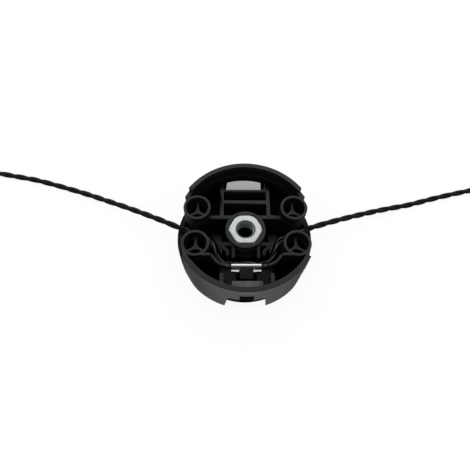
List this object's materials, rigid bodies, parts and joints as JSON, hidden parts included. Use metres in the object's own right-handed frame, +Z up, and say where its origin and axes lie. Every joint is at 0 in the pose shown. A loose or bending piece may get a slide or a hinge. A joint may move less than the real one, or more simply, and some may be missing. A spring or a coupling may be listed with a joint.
{
  "type": "trimmer head housing",
  "caption": "Open round trimmer head housing in black plastic with ribs, socket bosses, a hex nut in the hub, a bright line clip and twisted cutting line.",
  "frame": {"origin": "centre of the housing's base, where it stands on the table", "axes": "+Z up along the hub's axis out of the open side, -Y towards the clip side, +X to the right seen from the clip side"},
  "size_m": [0.3157, 0.091, 0.031],
  "materials": {
    "black_plastic": "moulded, slightly satin",
    "zinc_steel": "zinc plated",
    "bright_sheet": "bright rolled sheet",
    "black_nylon": "twisted, satin"
  },
  "bodies": {
    "root": {"housing": "black_plastic", "hex_nut": "zinc_steel", "line_clip": "bright_sheet", "trimmer_line": "black_nylon"}
  },
  "joints": []
}
